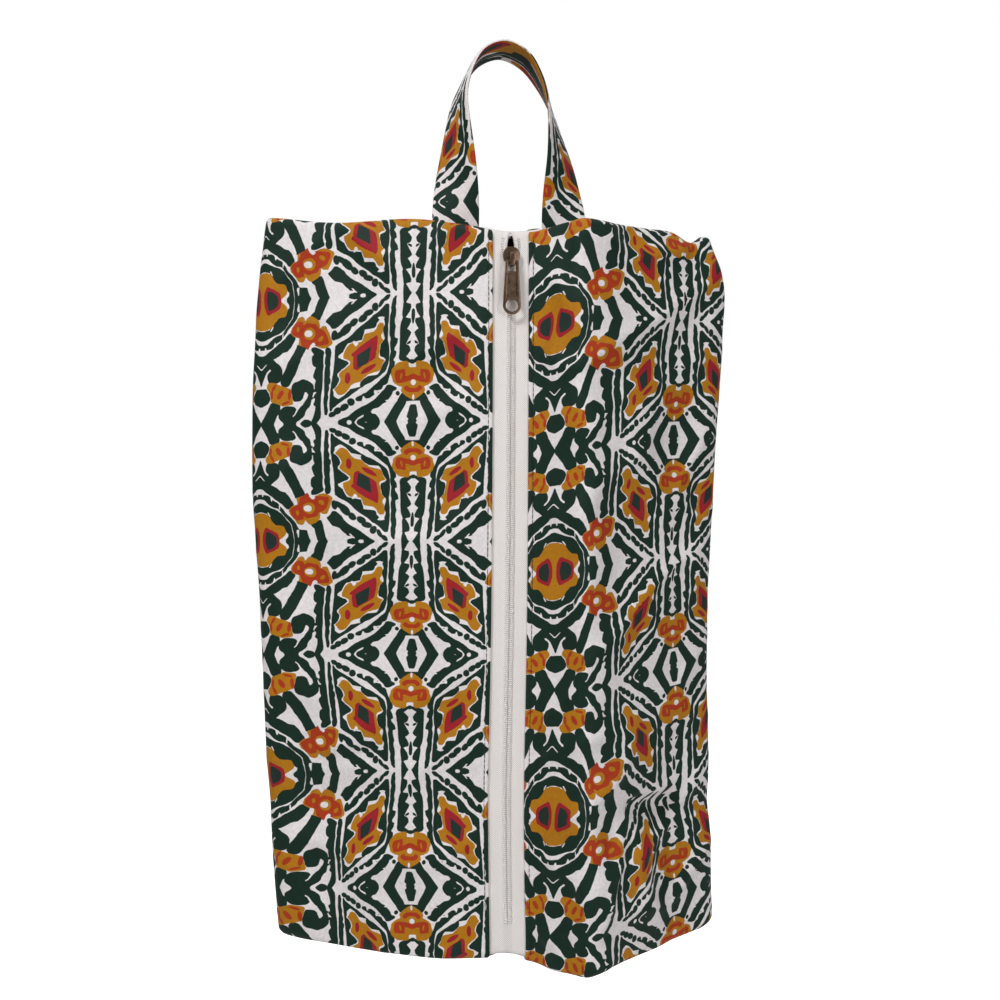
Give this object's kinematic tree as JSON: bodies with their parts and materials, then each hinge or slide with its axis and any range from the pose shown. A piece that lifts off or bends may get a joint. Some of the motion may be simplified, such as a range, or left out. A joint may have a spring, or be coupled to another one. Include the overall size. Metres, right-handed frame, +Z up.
{
  "type": "shoe bag",
  "caption": "Boxy printed cotton shoe bag with a zip down its whole front and a loop handle to hang it by, shown hanging and empty.",
  "frame": {"origin": "where the bag hangs: the underside of the handle at the top of its loop", "axes": "+Z up the hanging bag, -Y out of the zipped front, +X to the right as one faces the zip"},
  "size_m": [0.258, 0.11, 0.4784],
  "materials": {
    "printed_cotton": "plain-weave cotton printed in dark green, mustard and orange-red on white",
    "zip_tape": "white woven polyester tape",
    "zip_coil": "white nylon coil",
    "antique_brass": "antiqued, worn bright at the edges"
  },
  "bodies": {
    "bag": {"bag_body": "printed_cotton", "top_panel": "printed_cotton", "bottom_panel": "printed_cotton", "handle_strap": "printed_cotton", "zip_tape_left": "zip_tape", "zip_tape_right": "zip_tape", "zip_coil_left": "zip_coil", "zip_coil_right": "zip_coil", "zip_slider": "antique_brass"},
    "puller": {"zip_puller": "antique_brass"}
  },
  "joints": [
    {"name": "puller_swing", "type": "hinge", "parent": "bag", "child": "puller", "pos_m": [0, -0.03178, -0.1191], "axis": [-1, 0, 0], "range_deg": [0, 150]}
  ]
}
